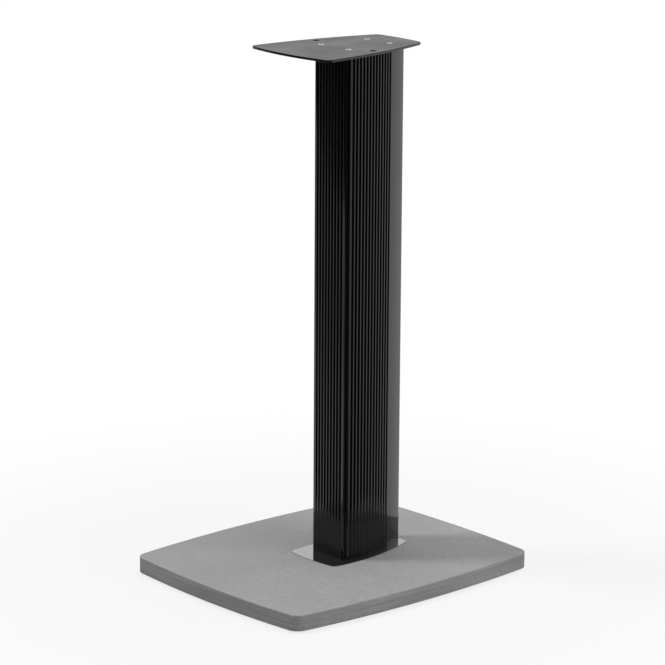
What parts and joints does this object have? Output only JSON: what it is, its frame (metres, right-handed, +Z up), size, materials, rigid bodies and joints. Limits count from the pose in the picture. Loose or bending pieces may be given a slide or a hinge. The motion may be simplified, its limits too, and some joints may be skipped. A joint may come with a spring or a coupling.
{
  "type": "speaker stand",
  "caption": "Stand with a thin top plate for a loudspeaker on a tapered fluted pillar, which rises from a heavy bowed slab on levelling feet.",
  "frame": {"origin": "on the floor, under the middle of the slab's bounding box", "axes": "+Z up, -Y to the front, where the top plate is widest, and +X to the right of someone who looks at the front"},
  "size_m": [0.33, 0.4, 0.6625],
  "materials": {
    "slab": "matte",
    "polished_plate": "polished",
    "pillar": "satin",
    "cover": "satin",
    "top_plate": "satin",
    "top_screws": "satin",
    "base_bolts": "satin",
    "washers": "satin",
    "bushes": "satin",
    "glides": "satin",
    "soles": "matte"
  },
  "bodies": {
    "stand": {"base_slab": "slab", "base_insert_plate": "polished_plate", "pillar_profile": "pillar", "top_plate": "top_plate", "top_screw_front_left": "top_screws", "top_screw_front_right": "top_screws", "top_screw_back_left": "top_screws", "top_screw_back_right": "top_screws", "base_bolt_front_left": "base_bolts", "base_bolt_front_right": "base_bolts", "base_bolt_back_left": "base_bolts", "base_bolt_back_right": "base_bolts", "base_washer_front_left": "washers", "base_washer_front_right": "washers", "base_washer_back_left": "washers", "base_washer_back_right": "washers", "foot_bush_front_left": "bushes", "foot_bush_front_right": "bushes", "foot_bush_back_left": "bushes", "foot_bush_back_right": "bushes"},
    "rear_cover": {"rear_cable_cover": "cover"},
    "foot_front_left": {"foot_glide_front_left": "glides", "foot_sole_front_left": "soles"},
    "foot_front_right": {"foot_glide_front_right": "glides", "foot_sole_front_right": "soles"},
    "foot_back_left": {"foot_glide_back_left": "glides", "foot_sole_back_left": "soles"},
    "foot_back_right": {"foot_glide_back_right": "glides", "foot_sole_back_right": "soles"}
  },
  "joints": [
    {"name": "rear_cover_pull", "type": "slide", "parent": "stand", "child": "rear_cover", "axis": [0, 1, 0], "range_m": [0, 0.03]},
    {"name": "foot_screw_front_left", "type": "slide", "parent": "stand", "child": "foot_front_left", "axis": [0, 0, -1], "range_m": [0, 0.006]},
    {"name": "foot_screw_front_right", "type": "slide", "parent": "stand", "child": "foot_front_right", "axis": [0, 0, -1], "range_m": [0, 0.006]},
    {"name": "foot_screw_back_left", "type": "slide", "parent": "stand", "child": "foot_back_left", "axis": [0, 0, -1], "range_m": [0, 0.006]},
    {"name": "foot_screw_back_right", "type": "slide", "parent": "stand", "child": "foot_back_right", "axis": [0, 0, -1], "range_m": [0, 0.006]}
  ]
}
